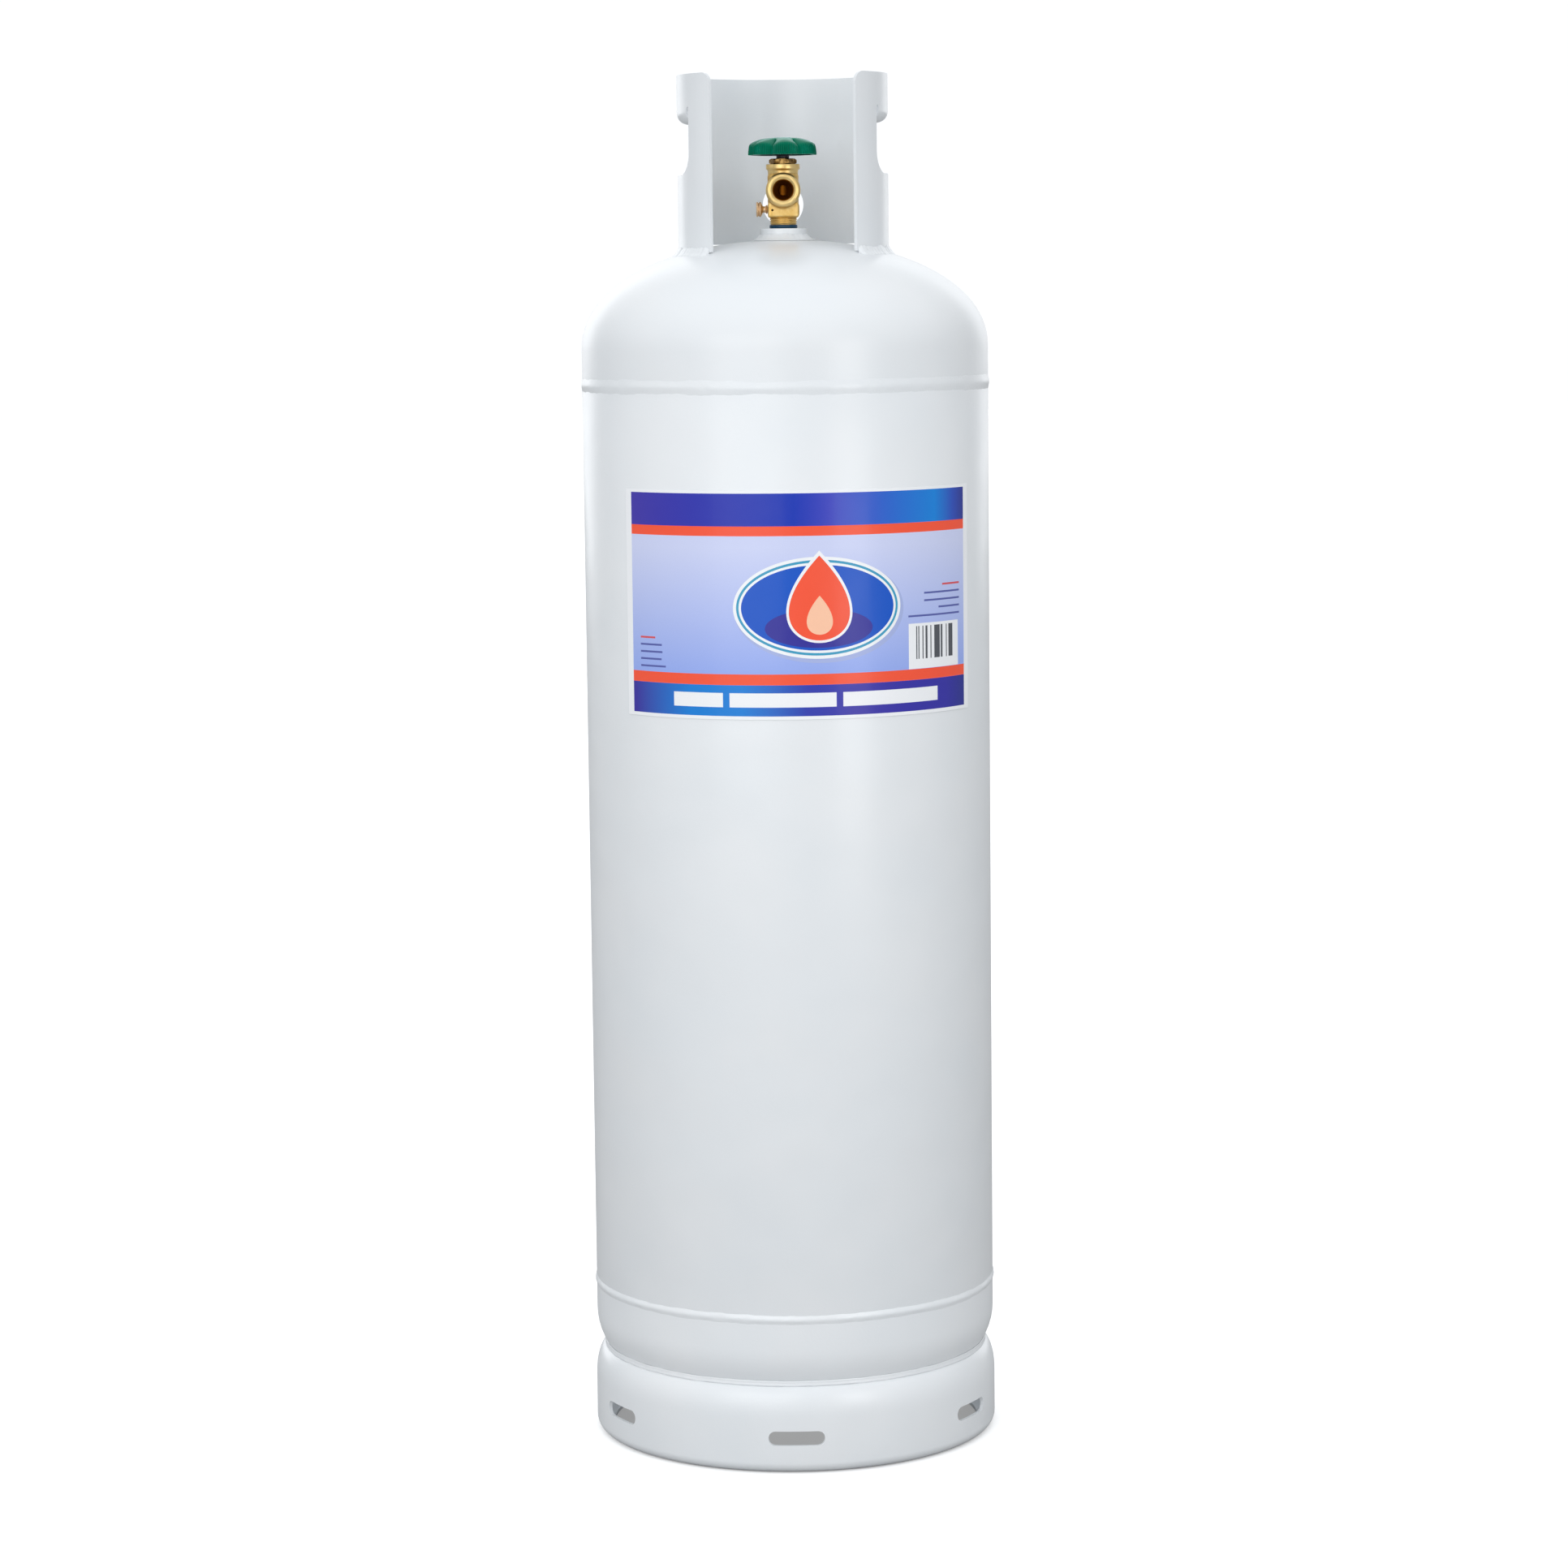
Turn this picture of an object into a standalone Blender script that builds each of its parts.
"""A tall upright propane cylinder: welded steel tank, foot ring, open-fronted valve collar and brass valve.

Metres, +Z up. The origin is the centre of the foot ring's bottom face. The valve outlet faces -Y.
"""

import math

import bmesh
import bpy
from mathutils import Matrix, Vector

# ---------------------------------------------------------------- driving dimensions
BODY_R = 0.184  # outside radius of the pressure vessel
WALL = 0.0025  # plate thickness of shell and heads
HEIGHT = 1.240  # floor to the top of the collar
LOWER_SEAM_Z = 0.140
UPPER_SEAM_Z = 0.9645
GAP = 0.0003  # clearance left between pieces that touch
ROUND = 48  # sides of the large turned pieces
FINE = 24  # sides of the valve's turned pieces

# heads
TOP_SKIRT = 0.032
TOP_CROWN = 0.0965
CROWN_POWER = 2.1  # 2 is a plain ellipse; a little more flattens the crown
BOTTOM_SKIRT = 0.028
BOTTOM_CROWN = 0.092
LIP_LENGTH = 0.016  # joggled lip that sits inside the shell
SEAM_HALF_GAP = 0.0015

# foot ring
FOOT_R = 0.1853
FOOT_PLATE = 0.003
FOOT_TOP_Z = 0.0785
FOOT_SHOULDER_Z = 0.050
FOOT_TOP_R = 0.1740
FOOT_CURL_R = 0.010
FOOT_LAND = 0.006  # width of the flat rim that stands on the floor
SLOT_COUNT = 6
SLOT_LENGTH = 0.051
SLOT_HEIGHT = 0.013
SLOT_Z = 0.0325

# collar
COLLAR_R = 0.095
COLLAR_PLATE = 0.003
COLLAR_BOTTOM_Z = 1.0822
COLLAR_HALF_OPENING = math.radians(43)
COLLAR_CORNER_R = 0.010
DRAIN_ARCH = 0.0075  # height of the gaps between the collar's welded feet
FRONT_FOOT_END = math.radians(100)
BACK_FOOT_START = math.radians(150)
HAND_BOTTOM_Z = 1.151
HAND_TOP_Z = 1.211
HAND_HALF_ANGLE = math.radians(28)
HAND_CORNER_R = 0.019
GRIP_HALF_ANGLE = math.radians(25.5)
GRIP_BEND_R = 0.0065  # inside radius of the rolled grip
GRIP_Z = 1.2065  # height of the grip's bend centre
BACK_HOLE_R = 0.0195
BACK_HOLE_Z = 1.126

# label
LABEL_START = math.radians(-50.2)
LABEL_END = math.radians(60.2)
LABEL_LOW_Z = 0.676
LABEL_HIGH_Z = 0.876

# valve: heights below are measured from the top face of the boss
VALVE_Z = 1.103
BOSS_R = 0.0208
BOSS_HEIGHT = 0.020
SHANK_TOP_R = 0.0124
SHANK_TOP = 0.0095
SHANK_BOTTOM = -0.019
SHANK_TAPER = 1 / 32
BLOCK_TOP = 0.023
BLOCK_HALF = 0.014
BARREL_R = 0.0140
RIM_R = 0.0152
RIM_BOTTOM = 0.053
RIM_TOP = 0.0575
OUTLET_HEIGHT = 0.034
OUTLET_R = 0.0153
OUTLET_REACH = 0.027
OUTLET_BORE_R = 0.0100
CHAMBER_R = 0.0085
CHAMBER_FLOOR = 0.0235
SEAT_TOP = 0.025
SEAT_BORE_R = 0.0036
RELIEF_HEIGHT = 0.018
RELIEF_R = 0.012
RELIEF_REACH = 0.032
RELIEF_BORE_R = 0.0082
BLEED_HEIGHT = 0.0173
WHEEL_BOTTOM = 0.0668
WHEEL_RIM_TOP = 0.0762
WHEEL_TOP = 0.0813
WHEEL_R = 0.0315
WHEEL_LOBES = 7
WHEEL_PHASE = math.radians(5.7)
HUB_SQUARE = 0.0062
STEM_R = 0.0040
STEM_SQUARE = 0.0056
HEX_FLATS = 0.0220
DIP_X = -0.0072
DIP_LENGTH = 0.269


# ---------------------------------------------------------------- materials
def painted(name, colour, roughness, metallic=0.0):
    """A Principled material with a colour, roughness and metallic value."""
    made = bpy.data.materials.new(name)
    made.use_nodes = True
    shader = made.node_tree.nodes["Principled BSDF"]
    shader.inputs["Base Color"].default_value = (*colour, 1.0)
    shader.inputs["Roughness"].default_value = roughness
    shader.inputs["Metallic"].default_value = metallic
    return made


# ---------------------------------------------------------------- shape helpers
def turned(profile, segments=FINE, start=0.0, sweep=math.tau):
    """Spins an outline of (radius, height) points about Z.

    An outline whose ends lie on the axis stays open there. Any other one is closed. Angle 0 is the front, -Y.
    """
    bm = bmesh.new()
    verts = [bm.verts.new((r * math.sin(start), -r * math.cos(start), z)) for r, z in profile]
    solid = profile[0][0] == 0 and profile[-1][0] == 0
    edges = [bm.edges.new(pair) for pair in zip(verts, verts[1:])]
    if not solid:
        edges.append(bm.edges.new((verts[-1], verts[0])))
    full = abs(sweep - math.tau) < 1e-6
    bmesh.ops.spin(
        bm,
        geom=verts + edges,
        cent=(0, 0, 0),
        axis=(0, 0, 1),
        angle=sweep,
        steps=segments,
        use_merge=full,
    )
    bmesh.ops.remove_doubles(bm, verts=bm.verts, dist=1e-6)
    open_edges = [e for e in bm.edges if e.is_boundary]
    if open_edges:
        bmesh.ops.holes_fill(bm, edges=open_edges, sides=0)
    bmesh.ops.recalc_face_normals(bm, faces=bm.faces)
    return bm


def rod(radius, bottom, top, segments=FINE, centre=(0.0, 0.0)):
    """An upright cylinder between two heights."""
    bm = turned([(0, bottom), (radius, bottom), (radius, top), (0, top)], segments)
    bmesh.ops.translate(bm, verts=bm.verts, vec=(*centre, 0))
    return bm


def slab(low, high):
    """A box between two corners."""
    bm = bmesh.new()
    bmesh.ops.create_cube(bm, size=1)
    low, high = Vector(low), Vector(high)
    bmesh.ops.scale(bm, vec=high - low, verts=bm.verts)
    bmesh.ops.translate(bm, vec=(low + high) / 2, verts=bm.verts)
    return bm


def prism(outline, depth):
    """Extrudes an outline of (x, z) points along Y, half the depth each way."""
    bm = bmesh.new()
    face = bm.faces.new([bm.verts.new((x, -depth / 2, z)) for x, z in outline])
    moved = bmesh.ops.extrude_face_region(bm, geom=[face])["geom"]
    bmesh.ops.translate(bm, vec=(0, depth, 0), verts=[v for v in moved if isinstance(v, bmesh.types.BMVert)])
    bmesh.ops.recalc_face_normals(bm, faces=bm.faces)
    return bm


def arc(centre, radius, first, last, steps, squash=1.0):
    """Points on a circular or elliptical arc, angles in degrees; squash scales its height."""
    points = []
    for step in range(steps + 1):
        angle = math.radians(first + (last - first) * step / steps)
        points.append((centre[0] + radius * math.cos(angle), centre[1] + squash * radius * math.sin(angle)))
    return points


def merged(first, second):
    """Two bmeshes in one, as separate closed shapes."""
    spare = bpy.data.meshes.new("spare")
    second.to_mesh(spare)
    first.from_mesh(spare)
    second.free()
    bpy.data.meshes.remove(spare)
    return first


def add_object(name, bm, finish, parent=None, location=(0, 0, 0), rotation=(0, 0, 0)):
    """Makes a smooth-shaded object from a bmesh."""
    mesh = bpy.data.meshes.new(name)
    bm.to_mesh(mesh)
    bm.free()
    mesh.materials.append(finish)
    mesh.shade_smooth()
    mesh.set_sharp_from_angle(angle=math.radians(32))
    obj = bpy.data.objects.new(name, mesh)
    bpy.context.scene.collection.objects.link(obj)
    obj.parent = parent
    obj.location = location
    obj.rotation_euler = rotation
    return obj


def combine(obj, operation, tools, parent=None):
    """Adds one Boolean modifier for each (name, bmesh, location, rotation) tool."""
    for name, bm, location, rotation in tools:
        tool = add_object(name, bm, obj.data.materials[0], parent, location, rotation)
        tool.hide_render = True
        tool.display_type = "WIRE"
        modifier = obj.modifiers.new(name, "BOOLEAN")
        modifier.operation = operation
        modifier.object = tool


TOWARDS_FRONT = (math.radians(90), 0, 0)  # turns +Z to -Y
TOWARDS_BACK = (math.radians(-90), 0, 0)  # turns +Z to +Y
TOWARDS_LEFT = (0, math.radians(-90), 0)  # turns +Z to -X


# ---------------------------------------------------------------- pressure vessel
def crown_rise(share):
    """Height of a head's crown at a share of its radius, as a share of its full height."""
    return (1 - share**CROWN_POWER) ** (1 / CROWN_POWER)


def dome_height(radius):
    """Height of the top head's outside at a radius."""
    return UPPER_SEAM_Z + TOP_SKIRT + TOP_CROWN * crown_rise(radius / BODY_R)


def bottom_radius(height):
    """Outside radius of the bottom head at a height below its skirt."""
    return BODY_R * crown_rise((LOWER_SEAM_Z - BOTTOM_SKIRT - height) / BOTTOM_CROWN)


def head_profile(skirt, crown, hole_r):
    """Outline of a head above its seam: crown, skirt and the joggled lip inside the shell.

    With no hole, the outline starts and ends on the axis.
    """
    inner_r, inner_crown = BODY_R - WALL, crown - WALL
    lip_r = inner_r - GAP
    steps = 7

    def crown_points(radius, height):
        last = math.acos(hole_r / radius)
        radii = [radius * math.cos(last * k / steps) for k in range(steps)] + [hole_r]
        return [(r, skirt + height * crown_rise(r / radius)) for r in radii]

    outside = crown_points(BODY_R, crown)[::-1]
    inside = crown_points(inner_r, inner_crown)
    step = [
        (BODY_R, SEAM_HALF_GAP),
        (lip_r, SEAM_HALF_GAP),
        (lip_r, -LIP_LENGTH),
        (lip_r - WALL, -LIP_LENGTH),
        (lip_r - WALL, SEAM_HALF_GAP + WALL),
        (inner_r, SEAM_HALF_GAP + 2 * WALL),
    ]
    return outside + step + inside


def girth_bead():
    """Outline of a girth weld, heights from the seam: a root in the groove and a crown over both plates."""
    root_r, root_half = BODY_R - 0.0020, SEAM_HALF_GAP - GAP
    crown_half, crown_height = 0.0052, 0.0009
    foot_r = BODY_R + GAP
    crown = arc((foot_r, 0), crown_half, -90, 90, 4)
    crown = [(foot_r + (r - foot_r) * crown_height / crown_half, z) for r, z in crown]
    return [(root_r, -root_half), (foot_r, -root_half), *crown, (foot_r, root_half), (root_r, root_half)]


def make_vessel(steel):
    """Shell, two heads and their welds."""
    hole_r = BOSS_R + GAP
    top = turned(head_profile(TOP_SKIRT, TOP_CROWN, hole_r), ROUND)
    add_object("top_head", top, steel, location=(0, 0, UPPER_SEAM_Z))
    bottom = turned([(r, -z) for r, z in head_profile(BOTTOM_SKIRT, BOTTOM_CROWN, 0.0)], ROUND)
    add_object("bottom_head", bottom, steel, location=(0, 0, LOWER_SEAM_Z))
    low, high = LOWER_SEAM_Z + SEAM_HALF_GAP, UPPER_SEAM_Z - SEAM_HALF_GAP
    tube = [(BODY_R - WALL, low), (BODY_R, low), (BODY_R, high), (BODY_R - WALL, high)]
    add_object("shell", turned(tube, ROUND), steel)
    add_object("upper_girth_weld", turned(girth_bead(), ROUND), steel, location=(0, 0, UPPER_SEAM_Z))
    add_object("lower_girth_weld", turned(girth_bead(), ROUND), steel, location=(0, 0, LOWER_SEAM_Z))
    make_shell_seam(steel)


def make_shell_seam(steel):
    """The shell's upright weld, a low bead down the back between the girth welds."""
    bead_half, bead_height, end_margin = 0.0040, 0.0012, 0.008
    bm = bmesh.new()
    crown = arc((0, 0), bead_half, 180, 0, 6)
    low = LOWER_SEAM_Z + end_margin
    ring = [bm.verts.new((x, BODY_R + GAP + y * bead_height / bead_half, low)) for x, y in crown]
    face = bm.faces.new(ring)
    moved = bmesh.ops.extrude_face_region(bm, geom=[face])["geom"]
    length = UPPER_SEAM_Z - LOWER_SEAM_Z - 2 * end_margin
    bmesh.ops.translate(bm, vec=(0, 0, length), verts=[v for v in moved if isinstance(v, bmesh.types.BMVert)])
    bmesh.ops.recalc_face_normals(bm, faces=bm.faces)
    add_object("shell_seam_weld", bm, steel)


def make_foot_ring(steel):
    """Rolled foot ring with drain slots, and the fillet weld that holds it to the bottom head."""
    inner_r = FOOT_R - FOOT_PLATE
    curl_x = FOOT_R - FOOT_CURL_R
    shoulder_height = FOOT_TOP_Z - FOOT_SHOULDER_Z
    shoulder_width = FOOT_R - FOOT_TOP_R
    inner_width = shoulder_width - FOOT_PLATE
    outside = arc((FOOT_TOP_R, FOOT_SHOULDER_Z), shoulder_width, 90, 0, 5, shoulder_height / shoulder_width)
    outside += arc((curl_x, FOOT_CURL_R), FOOT_CURL_R, 0, -90, 3)
    land = [(curl_x - FOOT_LAND, 0), (curl_x - FOOT_LAND, FOOT_PLATE)]
    inside = arc((curl_x, FOOT_CURL_R), FOOT_CURL_R - FOOT_PLATE, -90, 0, 3)
    inside += arc(
        (FOOT_TOP_R, FOOT_SHOULDER_Z), inner_width, 0, 90, 5, (shoulder_height - FOOT_PLATE) / inner_width
    )
    ring = add_object("foot_ring", turned(outside + land + inside, ROUND), steel)
    end_r = SLOT_HEIGHT / 2
    end_x = SLOT_LENGTH / 2 - end_r
    outline = arc((end_x, 0), end_r, 90, -90, 5) + arc((-end_x, 0), end_r, 270, 90, 5)
    depth = 0.03
    for number in range(SLOT_COUNT):
        angle = math.tau * number / SLOT_COUNT
        place = (inner_r * math.sin(angle), -inner_r * math.cos(angle), SLOT_Z)
        combine(ring, "DIFFERENCE", [(f"slot_cutter_{number}", prism(outline, depth), place, (0, 0, angle))])

    low, high = FOOT_TOP_Z + 0.0006, FOOT_TOP_Z + 0.0038
    bead = [
        (bottom_radius(low) + 0.0004, low),
        (FOOT_TOP_R + 0.0018, FOOT_TOP_Z),
        (FOOT_TOP_R + 0.0030, FOOT_TOP_Z - 0.0004),
        (FOOT_TOP_R + 0.0033, FOOT_TOP_Z + 0.0006),
        (FOOT_TOP_R + 0.0030, FOOT_TOP_Z + 0.0022),
        (bottom_radius(high) + 0.0006, high),
    ]
    add_object("foot_ring_weld", turned(bead, ROUND), steel)


# ---------------------------------------------------------------- collar
def corner_cutter(radius, side):
    """What a rounded top corner removes from a plate, as a prism along Y; side 1 rounds the +X end of a plate."""
    over = 0.004
    outline = [(side * over, over), (-side * radius, over)]
    outline += [(side * x, z) for x, z in arc((-radius, -radius), radius, 90, 0, 6)]
    outline += [(side * over, -radius)]
    return prism(outline, 0.02)


def make_collar(steel):
    """Open-fronted collar with rolled hand grips, a back hole and drain arches between its welded feet."""
    inner_r = COLLAR_R - COLLAR_PLATE
    sweep = math.tau - 2 * COLLAR_HALF_OPENING
    wall = [(inner_r, COLLAR_BOTTOM_Z), (COLLAR_R, COLLAR_BOTTOM_Z), (COLLAR_R, HEIGHT), (inner_r, HEIGHT)]
    collar = add_object("collar", turned(wall, 50, COLLAR_HALF_OPENING, sweep), steel)

    for side, name in ((1, "right"), (-1, "left")):
        angle = side * COLLAR_HALF_OPENING
        place = (COLLAR_R * math.sin(angle), -COLLAR_R * math.cos(angle), HEIGHT)
        cutter = corner_cutter(COLLAR_CORNER_R, -side)
        combine(collar, "DIFFERENCE", [(f"corner_cutter_{name}", cutter, place, (0, 0, angle))])
        combine(collar, "DIFFERENCE", [hand_cutter(side, name)])
        combine(collar, "DIFFERENCE", [arch_cutter(side, name)])
        combine(collar, "UNION", [grip(side, name)])
    back = rod(BACK_HOLE_R, -0.02, 0.02)
    combine(collar, "DIFFERENCE", [("back_hole_cutter", back, (0, COLLAR_R, BACK_HOLE_Z), TOWARDS_BACK)])
    make_collar_welds(steel)


def hand_cutter(side, name):
    """The hand hole's prism along X. Above the grip's bend only a relief slit each side is removed."""
    half = COLLAR_R * math.sin(HAND_HALF_ANGLE)
    grip_half = COLLAR_R * math.sin(GRIP_HALF_ANGLE)
    bottom, slit_r = HAND_BOTTOM_Z, 0.002
    right = arc((half - HAND_CORNER_R, bottom + HAND_CORNER_R), HAND_CORNER_R, -90, 0, 7)
    right += arc((half - slit_r, HAND_TOP_Z - slit_r), slit_r, 0, 90, 3)
    right += [(grip_half, HAND_TOP_Z), (grip_half, GRIP_Z)]
    left = [(-x, z) for x, z in right[::-1]]
    place = (side * COLLAR_R, 0, 0)
    return f"hand_cutter_{name}", prism(right + left, 0.06), place, (0, 0, math.radians(90))


def arch_cutter(side, name):
    """Removes the bottom edge between two welded feet."""
    low, high = COLLAR_BOTTOM_Z - 0.005, COLLAR_BOTTOM_Z + DRAIN_ARCH
    outline = [(COLLAR_R - 0.02, low), (COLLAR_R + 0.02, low), (COLLAR_R + 0.02, high), (COLLAR_R - 0.02, high)]
    start, end = FRONT_FOOT_END, BACK_FOOT_START
    if side < 0:
        start, end = -end, -start
    return f"arch_cutter_{name}", turned(outline, 12, start, end - start), (0, 0, 0), (0, 0, 0)


def grip(side, name):
    """The tab above a hand hole, rolled inwards half a turn."""
    skin = 0.0001  # keeps the tab's faces off the wall's own
    outer_bend = GRIP_BEND_R + COLLAR_PLATE
    centre = (COLLAR_R - COLLAR_PLATE - GRIP_BEND_R, GRIP_Z)
    outline = [(COLLAR_R - skin, GRIP_Z + COLLAR_PLATE)]
    outline += arc(centre, outer_bend - skin, 0, -180, 8)
    outline += [(centre[0] - outer_bend + skin, GRIP_Z + 0.002), (centre[0] - GRIP_BEND_R - skin, GRIP_Z + 0.002)]
    outline += arc(centre, GRIP_BEND_R + skin, -180, 0, 8)
    outline += [(centre[0] + GRIP_BEND_R + skin, GRIP_Z + COLLAR_PLATE)]
    middle = side * math.radians(90)
    tab = turned(outline, 12, middle - GRIP_HALF_ANGLE + 0.004, 2 * GRIP_HALF_ANGLE - 0.008)
    return f"grip_{name}", tab, (0, 0, 0), (0, 0, 0)


def make_collar_welds(steel):
    """Fillet beads along the outside of the collar's three feet."""
    near, far = COLLAR_R + GAP, COLLAR_R + 0.0065
    bead = [
        (near, dome_height(near) + 0.0005),
        (far, dome_height(far) + 0.0005),
        (far - 0.0026, dome_height(far) + 0.0050),
        (near, dome_height(near) + 0.0070),
    ]
    end_margin = math.radians(1.5)
    front = COLLAR_HALF_OPENING + end_margin
    spans = {
        "left": (-FRONT_FOOT_END + end_margin, -front),
        "right": (front, FRONT_FOOT_END - end_margin),
        "back": (BACK_FOOT_START + end_margin, math.tau - BACK_FOOT_START - end_margin),
    }
    for name, (start, end) in spans.items():
        add_object(f"collar_weld_{name}", turned(bead, 12, start, end - start), steel)


def make_label(vinyl):
    """The printed sheet stuck round the front of the shell."""
    near, far = BODY_R + GAP, BODY_R + GAP + 0.0004
    sheet = [(near, LABEL_LOW_Z), (far, LABEL_LOW_Z), (far, LABEL_HIGH_Z), (near, LABEL_HIGH_Z)]
    add_object("product_label", turned(sheet, 20, LABEL_START, LABEL_END - LABEL_START), vinyl)


# ---------------------------------------------------------------- valve
def shank_r(height):
    """Radius of the valve's tapered pipe thread at a height above the boss."""
    return SHANK_TOP_R - (SHANK_TOP - height) * SHANK_TAPER


def make_boss(steel, sealant_finish, valve):
    """Threaded boss in the top head, its weld, and the sealant in its thread."""
    film = 0.0004
    bore_low, bore_high = shank_r(-BOSS_HEIGHT) + 2 * GAP + film, shank_r(0) + 2 * GAP + film
    ring = [(bore_low, -BOSS_HEIGHT), (BOSS_R, -BOSS_HEIGHT), (BOSS_R, -0.001), (BOSS_R - 0.001, 0), (bore_high, 0)]
    add_object("valve_boss", turned(ring), steel, valve)
    near, far = BOSS_R + GAP, 0.0300
    bead = [
        (near, dome_height(near) + 0.0004 - VALVE_Z),
        (far, dome_height(far) + 0.0004 - VALVE_Z),
        (far - 0.0012, dome_height(far) + 0.0014 - VALVE_Z),
        (near + 0.0030, -0.0078),
        (near, -0.0058),
    ]
    add_object("valve_boss_weld", turned(bead), steel, valve)
    low, lip = SHANK_BOTTOM + 0.001, 0.0034
    sleeve = [
        (shank_r(low) + GAP, low),
        (shank_r(low) + GAP + film, low),
        (shank_r(GAP) + GAP + film, GAP),
        (0.0130, GAP),
        (0.0130, lip),
        (shank_r(lip) + GAP, lip),
    ]
    add_object("thread_sealant", turned(sleeve), sealant_finish, valve)


def make_valve_body(brass, valve):
    """Forged body: tapered shank, block, barrel, outlet and relief bosses, bored out."""
    shape = [
        (0, SHANK_BOTTOM),
        (shank_r(SHANK_BOTTOM), SHANK_BOTTOM),
        (SHANK_TOP_R, SHANK_TOP),
        (0.0128, 0.0135),
        (BARREL_R, 0.0220),
        (BARREL_R, 0.0455),
        (0.0136, 0.0470),
        (0.0140, 0.0520),
        (RIM_R, RIM_BOTTOM),
        (RIM_R, RIM_TOP - 0.0008),
        (RIM_R - 0.0008, RIM_TOP),
        (0, RIM_TOP),
    ]
    body = add_object("valve_body", turned(shape), brass, valve)
    block = slab((-BLOCK_HALF, -BLOCK_HALF, SHANK_TOP), (BLOCK_HALF, BLOCK_HALF, BLOCK_TOP))
    bmesh.ops.bevel(block, geom=block.edges[:], offset=0.0012, segments=1, affect="EDGES", profile=0.5)
    outlet = turned(
        [(0, 0.002), (OUTLET_R, 0.002), (OUTLET_R, OUTLET_REACH - 0.001), (OUTLET_R - 0.001, OUTLET_REACH),
         (0, OUTLET_REACH)]
    )
    relief = turned(
        [(0, 0.008), (RELIEF_R, 0.008), (RELIEF_R, RELIEF_REACH - 0.001), (RELIEF_R - 0.001, RELIEF_REACH),
         (0, RELIEF_REACH)]
    )
    combine(
        body,
        "UNION",
        [
            ("block_form", block, (0, 0, 0), (0, 0, 0)),
            ("outlet_form", outlet, (0, 0, OUTLET_HEIGHT), TOWARDS_FRONT),
            ("relief_form", relief, (0, 0, RELIEF_HEIGHT), TOWARDS_BACK),
        ],
        valve,
    )
    combine(body, "DIFFERENCE", valve_bores(), valve)


def valve_bores():
    """Cutters for every passage in the valve body."""
    past = 0.004
    chamber = [
        (0, 0.0142),
        (SEAT_BORE_R, 0.0142),
        (SEAT_BORE_R, SEAT_TOP),
        (SEAT_BORE_R + 0.0013, SEAT_TOP),
        (SEAT_BORE_R + 0.0020, CHAMBER_FLOOR),
        (CHAMBER_R, CHAMBER_FLOOR),
        (CHAMBER_R, 0.0517),
        (0.0113, 0.0517),
        (0.0113, RIM_TOP + past),
        (0, RIM_TOP + past),
    ]
    mouth = OUTLET_REACH
    outlet = [
        (0, 0.0070),
        (0.0045, 0.0070),
        (0.0045, 0.0112),
        (OUTLET_BORE_R - 0.0008, 0.0148),
        (OUTLET_BORE_R, 0.0160),
        (OUTLET_BORE_R, mouth - 0.0014),
        (OUTLET_BORE_R + 0.0016, mouth + 0.0002),
        (OUTLET_BORE_R + 0.0016, mouth + past),
        (0, mouth + past),
    ]
    relief = [
        (0, 0.0005),
        (0.0030, 0.0005),
        (0.0030, 0.0115),
        (0.0040, 0.0115),
        (0.0045, 0.0105),
        (RELIEF_BORE_R, 0.0105),
        (RELIEF_BORE_R, RELIEF_REACH + past),
        (0, RELIEF_REACH + past),
    ]
    bleed = [
        (0, 0.0052),
        (0.0008, 0.0052),
        (0.0008, 0.0080),
        (0.0026, 0.0092),
        (0.0026, 0.0110),
        (0.0032, 0.0110),
        (0.0032, BLOCK_HALF + past),
        (0, BLOCK_HALF + past),
    ]
    inlet = rod(0.0046, SHANK_BOTTOM - past, 0.0152, 22, (0.0027, 0))
    socket = rod(0.0027, SHANK_BOTTOM - past, -0.0080, 16, (DIP_X, 0))
    dip_passage = rod(0.00075, -0.0090, BLEED_HEIGHT + 0.0003, 10, (-0.0061, 0))
    vent = rod(0.00085, 0.0005, BLOCK_HALF + past, 10)
    return [
        ("dip_socket_cutter", socket, (0, 0, 0), (0, 0, 0)),
        ("dip_passage_cutter", dip_passage, (0, 0, 0), (0, 0, 0)),
        ("bleed_cutter", turned(bleed, 24), (0, 0, BLEED_HEIGHT), TOWARDS_LEFT),
        ("vent_cutter", vent, (-0.0098, 0, BLEED_HEIGHT - 0.0009), TOWARDS_FRONT),
        ("inlet_cutter", inlet, (0, 0, 0), (0, 0, 0)),
        ("chamber_cutter", turned(chamber), (0, 0, 0), (0, 0, 0)),
        ("outlet_cutter", turned(outlet), (0, 0, OUTLET_HEIGHT), TOWARDS_FRONT),
        ("relief_cutter", turned(relief), (0, 0, RELIEF_HEIGHT), TOWARDS_BACK),
    ]


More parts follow.
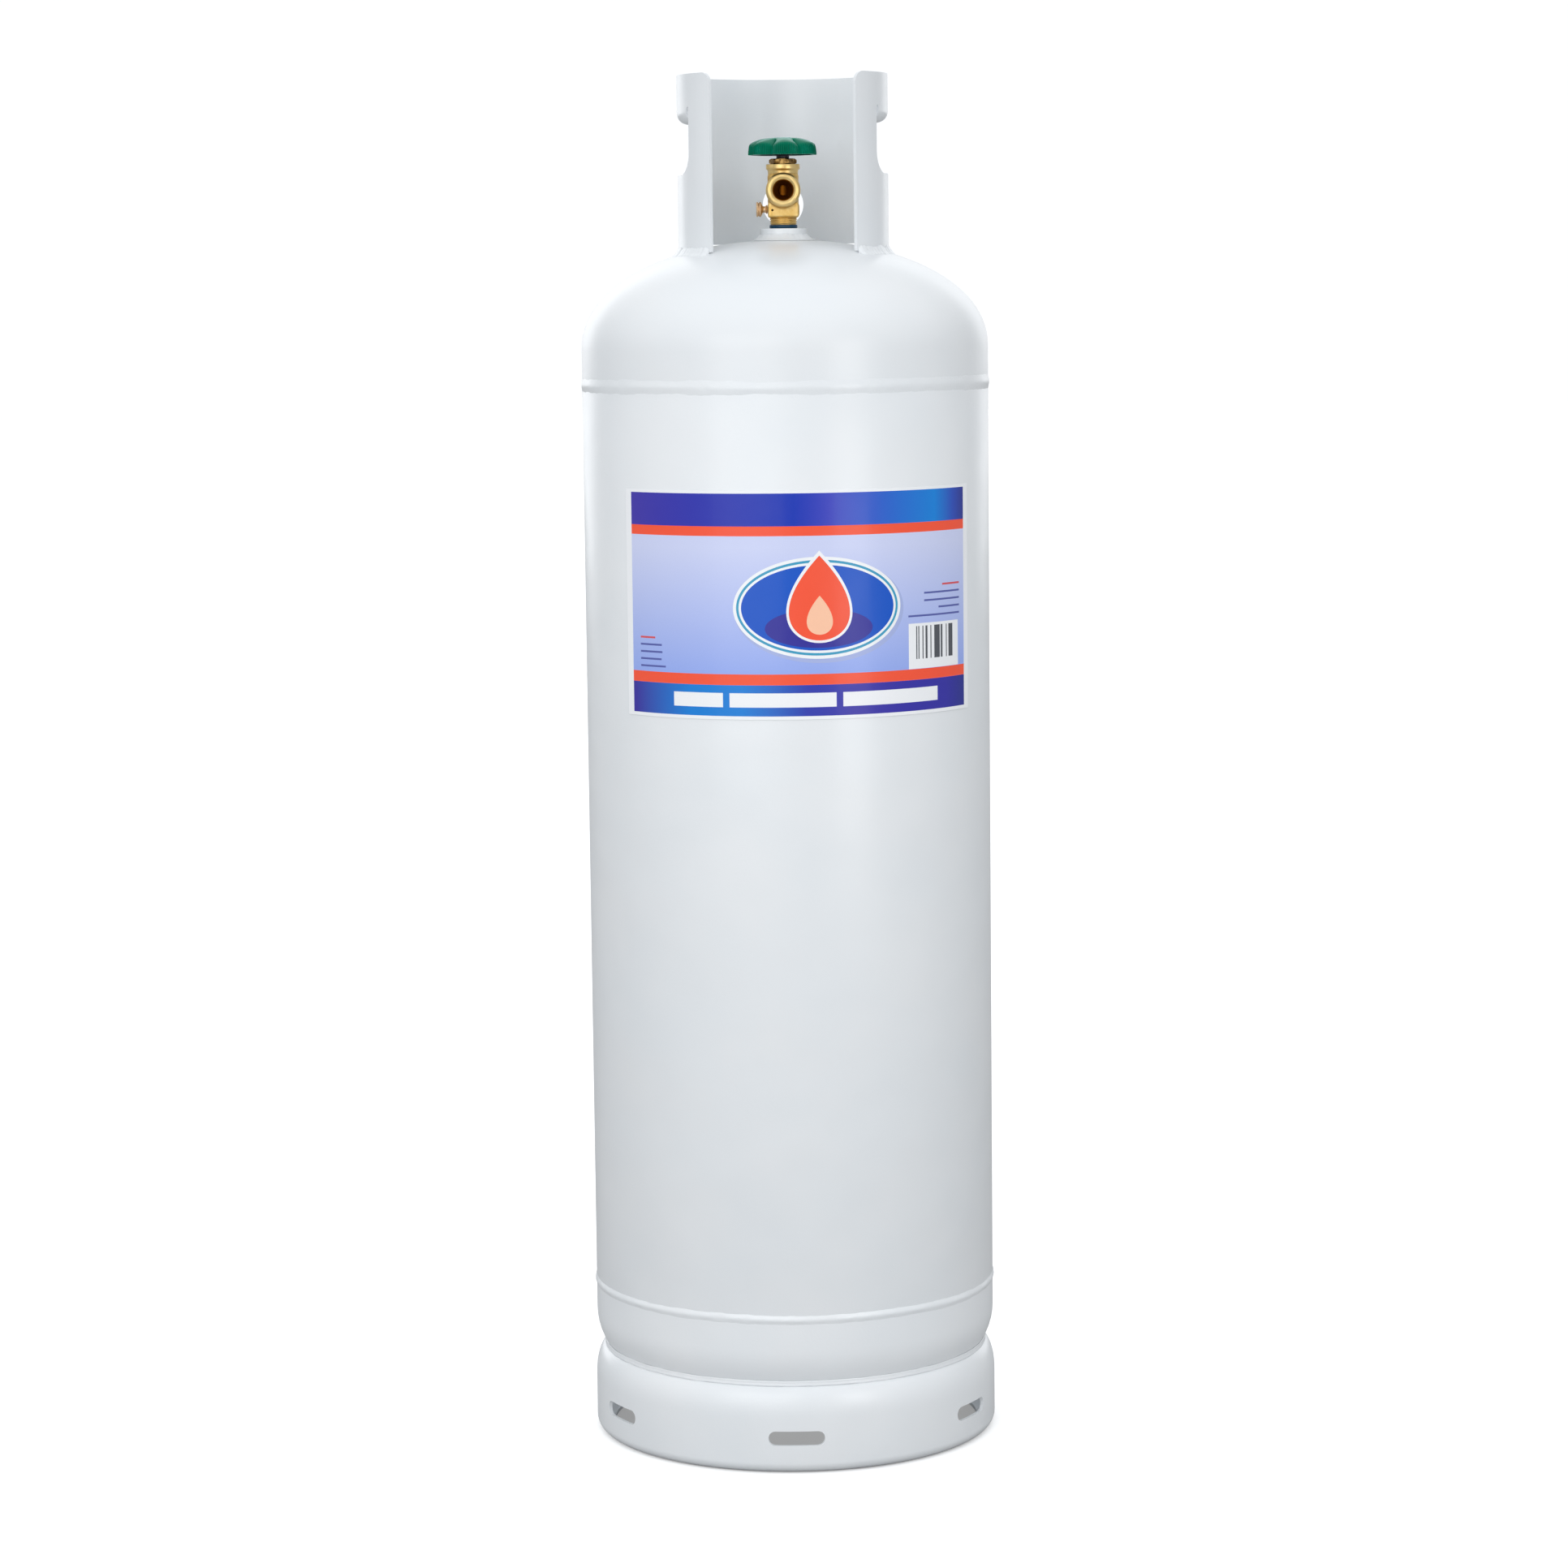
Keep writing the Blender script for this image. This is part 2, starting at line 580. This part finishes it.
def make_bonnet(brass, nylon, valve):
    """Hex bonnet nut that closes the valve's top, and the thrust washer under it."""
    thread = turned([(0.0043, 0.0520), (0.0110, 0.0520), (0.0110, 0.0577), (0.0100, 0.0582), (0.0043, 0.0582)])
    nut = add_object("bonnet_nut", thread, brass, valve)
    hexagon = bmesh.new()
    bmesh.ops.create_cone(
        hexagon, cap_ends=True, segments=6, radius1=HEX_FLATS / math.sqrt(3), radius2=HEX_FLATS / math.sqrt(3),
        depth=0.0047,
    )
    bmesh.ops.rotate(hexagon, verts=hexagon.verts, cent=(0, 0, 0), matrix=Matrix.Rotation(math.radians(8), 3, "Z"))
    bmesh.ops.translate(hexagon, verts=hexagon.verts, vec=(0, 0, 0.06015))
    combine(nut, "UNION", [("hex_form", hexagon, (0, 0, 0), (0, 0, 0))], valve)
    bore = rod(0.0043, 0.0500, 0.0650)
    combine(nut, "DIFFERENCE", [("bonnet_bore_cutter", bore, (0, 0, 0), (0, 0, 0))], valve)
    washer = [(0.0044, 0.0507), (0.0080, 0.0507), (0.0080, 0.0516), (0.0044, 0.0516)]
    add_object("thrust_washer", turned(washer), nylon, valve)


def make_stem(brass, black, rubber, valve):
    """Turning stem with its drive tang and square, its O-ring, and the dark shield under the handwheel."""
    shape = [
        (0, 0.0484),
        (0.0072, 0.0484),
        (0.0072, 0.0504),
        (STEM_R, 0.0504),
        (STEM_R, 0.0584),
        (0.0031, 0.0584),
        (0.0031, 0.0602),
        (STEM_R, 0.0602),
        (STEM_R, 0.0664),
        (0, 0.0664),
    ]
    stem = add_object("stem", turned(shape), brass, valve)
    tang = slab((-0.0060, -0.0014, 0.0430), (0.0060, 0.0014, 0.0490))
    half = STEM_SQUARE / 2
    square = slab((-half, -half, 0.0655), (half, half, 0.0770))
    combine(stem, "UNION", [("tang_form", tang, (0, 0, 0), (0, 0, 0)), ("square_form", square, (0, 0, 0), (0, 0, 0))],
            valve)
    tapped = rod(0.0019, 0.0672, 0.0790, 16)
    combine(stem, "DIFFERENCE", [("stem_tap_cutter", tapped, (0, 0, 0), (0, 0, 0))], valve)
    add_object("stem_o_ring", turned(o_ring(0.00325, 0.0042, 0.0593)), rubber, valve)
    shield = [(0.0043, 0.0628), (0.0058, 0.0628), (0.0058, 0.0655), (0.0088, 0.0655), (0.0088, 0.0665),
              (0.0043, 0.0665)]
    add_object("stem_shield", turned(shield), black, valve)


def o_ring(inner, outer, height):
    """Outline of a round-section ring at a height."""
    radius = (outer - inner) / 2
    return arc(((inner + outer) / 2, height), radius, 0, 300, 5)


def wheel_outline(angle, shrink=0.0):
    """Radius of the handwheel's rim at an angle from the front."""
    lobe = abs(math.cos(WHEEL_LOBES / 2 * (angle - WHEEL_PHASE))) ** 0.7
    return WHEEL_R - 0.0034 * (1 - lobe) - shrink


def make_handwheel(green, steel, valve):
    """Lobed wheel, hollow underneath, with a square-holed hub and its screw."""
    sides = WHEEL_LOBES * 8
    wall = 0.0028
    rings = [
        (wheel_outline, 0.0, WHEEL_BOTTOM),
        (wheel_outline, 0.0, WHEEL_RIM_TOP - 0.0012),
        (wheel_outline, 0.0020, WHEEL_RIM_TOP + 0.0010),
        (wheel_outline, 0.0085, WHEEL_RIM_TOP + 0.0034),
        (None, 0.0160, WHEEL_TOP - 0.0006),
        (None, 0.0082, WHEEL_TOP),
        (None, 0.0070, WHEEL_TOP - 0.0006),
        (None, 0.0070, 0.0773),
    ]
    inner = [
        (None, 0.0090, WHEEL_BOTTOM),
        (None, 0.0090, WHEEL_TOP - 0.0048),
        (None, 0.0165, WHEEL_TOP - 0.0048),
        (wheel_outline, 0.0085 + wall, WHEEL_RIM_TOP - 0.0006),
        (wheel_outline, wall + 0.0004, WHEEL_RIM_TOP - 0.0034),
        (wheel_outline, wall, WHEEL_BOTTOM),
    ]
    bm = bmesh.new()

    def ring(outline, size, height):
        verts = []
        for k in range(sides):
            angle = math.tau * k / sides
            radius = outline(angle, size) if outline else size
            verts.append(bm.verts.new((radius * math.sin(angle), -radius * math.cos(angle), height)))
        return [bm.edges.new((verts[k], verts[(k + 1) % sides])) for k in range(sides)]

    outside = [ring(*row) for row in rings]
    inside = [ring(*row) for row in inner]
    for loops in (outside, inside, (inside[-1], outside[0])):
        for low, high in zip(loops, loops[1:]):
            bmesh.ops.bridge_loops(bm, edges=low + high)
    for loop in (outside[-1], inside[0]):
        bmesh.ops.contextual_create(bm, geom=loop)
    bmesh.ops.recalc_face_normals(bm, faces=bm.faces)
    wheel = add_object("handwheel", bm, green, valve)
    half = HUB_SQUARE / 2
    hole = slab((-half, -half, WHEEL_BOTTOM - 0.002), (half, half, 0.0790))
    combine(wheel, "DIFFERENCE", [("hub_square_cutter", hole, (0, 0, 0), (0, 0, 0))], valve)
    screw = [(0, 0.0690), (0.0016, 0.0690), (0.0016, 0.0776), (0.0056, 0.0776), (0.0056, 0.0786), (0.0042, 0.0798),
             (0, 0.0802)]
    add_object("handwheel_screw", turned(screw, 24), steel, valve)


def make_plug(brass, nylon, valve):
    """Lower plug, threaded in the chamber and driven by the stem's tang, with its seat disc."""
    nose_r, head_r = 0.0060, 0.0082
    shape = [
        (0, 0.0276),
        (0.0053, 0.0276),
        (0.0053, 0.0259),
        (nose_r, 0.0259),
        (nose_r, 0.0385),
        (head_r, 0.0392),
        (head_r, 0.0454),
        (0, 0.0454),
    ]
    plug = add_object("valve_plug", turned(shape), brass, valve)
    slot = slab((-0.0120, -0.0017, 0.0400), (0.0120, 0.0017, 0.0500))
    combine(plug, "DIFFERENCE", [("plug_slot_cutter", slot, (0, 0, 0), (0, 0, 0))], valve)
    disc = [(0, SEAT_TOP + GAP), (0.0050, SEAT_TOP + GAP), (0.0050, 0.0273), (0, 0.0273)]
    add_object("seat_disc", turned(disc), nylon, valve)


def make_bleed(brass, rubber, valve):
    """Knurled bleed screw on the left of the block, and its O-ring."""
    shape = [
        (0, 0.0083),
        (0.0003, 0.0083),
        (0.0023, 0.0100),
        (0.0023, 0.0118),
        (0.0017, 0.0118),
        (0.0017, 0.0130),
        (0.0024, 0.0130),
        (0.0024, 0.0188),
        (0.0052, 0.0192),
        (0.0067, 0.0202),
        (0.0067, 0.0226),
        (0.0055, 0.0240),
        (0, 0.0244),
    ]
    place = (0, 0, BLEED_HEIGHT)
    add_object("bleed_screw", turned(shape, 24), brass, valve, place, TOWARDS_LEFT)
    add_object("bleed_o_ring", turned(o_ring(0.0020, 0.0030, 0.0124), 24), rubber, valve, place, TOWARDS_LEFT)


def make_relief(brass, rubber, steel, valve):
    """Spring-loaded relief valve in the body's back boss."""
    place = (0, 0, RELIEF_HEIGHT)
    disc = [(0, 0.0118), (0.0050, 0.0118), (0.0050, 0.0133), (0, 0.0133)]
    add_object("relief_disc", turned(disc, 24), rubber, valve, place, TOWARDS_BACK)
    poppet = [(0, 0.0136), (0.0062, 0.0136), (0.0062, 0.0158), (0.0034, 0.0158), (0.0034, 0.0190), (0.0018, 0.0200),
              (0.0018, 0.0325), (0, 0.0325)]
    add_object("relief_poppet", turned(poppet, 24), brass, valve, place, TOWARDS_BACK)
    retainer = [(0.0031, 0.0263), (0.0079, 0.0263), (0.0079, 0.0310), (0.0031, 0.0310)]
    ring = add_object("relief_retainer", turned(retainer), brass, valve, place, TOWARDS_BACK)
    slot = slab((-0.0100, -0.0009, 0.0292), (0.0100, 0.0009, 0.0330))
    combine(ring, "DIFFERENCE", [("spanner_slot_cutter", slot, place, TOWARDS_BACK)], valve)

    turns, per_turn, coil_r, wire_r = 5.5, 12, 0.0047, 0.0006
    low, high = 0.0158 + GAP + wire_r, 0.0263 - GAP - wire_r
    steps = round(turns * per_turn)
    curve = bpy.data.curves.new("relief_spring", "CURVE")
    curve.dimensions = "3D"
    curve.bevel_depth = wire_r
    curve.bevel_resolution = 1
    curve.use_fill_caps = True
    spline = curve.splines.new("POLY")
    spline.points.add(steps)
    for step, point in enumerate(spline.points):
        angle = math.tau * step / per_turn
        height = low + (high - low) * step / steps
        point.co = (coil_r * math.cos(angle), coil_r * math.sin(angle), height, 1)
    curve.materials.append(steel)
    spring = bpy.data.objects.new("relief_spring", curve)
    bpy.context.scene.collection.objects.link(spring)
    spring.parent = valve
    spring.location = place
    spring.rotation_euler = TOWARDS_BACK


def make_dip_tube(brass, valve):
    """Fixed level tube that hangs from the valve into the tank."""
    top = -0.0083
    tube = [(0.0014, top - DIP_LENGTH), (0.0023, top - DIP_LENGTH), (0.0023, top), (0.0014, top)]
    add_object("dip_tube", turned(tube, 16), brass, valve, (DIP_X, 0, 0))


# ---------------------------------------------------------------- assembly
def main():
    for obj in list(bpy.data.objects):
        bpy.data.objects.remove(obj)
    white = painted("white_enamel", (0.80, 0.82, 0.84), 0.35)
    brass = painted("forged_brass", (0.72, 0.50, 0.20), 0.32, 1.0)
    green = painted("green_gloss", (0.0, 0.22, 0.12), 0.22)
    black = painted("black_plastic", (0.02, 0.02, 0.03), 0.45)
    teal = painted("thread_sealant_teal", (0.0, 0.11, 0.20), 0.50)
    rubber = painted("black_rubber", (0.02, 0.02, 0.02), 0.70)
    nylon = painted("white_nylon", (0.75, 0.72, 0.62), 0.50)
    steel = painted("zinc_steel", (0.62, 0.63, 0.64), 0.30, 1.0)
    vinyl = painted("printed_vinyl", (0.42, 0.50, 0.85), 0.25)

    make_vessel(white)
    make_foot_ring(white)
    make_collar(white)
    make_label(vinyl)
    valve = bpy.data.objects.new("valve_centre", None)
    bpy.context.scene.collection.objects.link(valve)
    valve.location = (0, 0, VALVE_Z)
    make_boss(white, teal, valve)
    make_valve_body(brass, valve)
    make_bonnet(brass, nylon, valve)
    make_stem(brass, black, rubber, valve)
    make_handwheel(green, steel, valve)
    make_plug(brass, nylon, valve)
    make_bleed(brass, rubber, valve)
    make_relief(brass, rubber, steel, valve)
    make_dip_tube(brass, valve)


main()
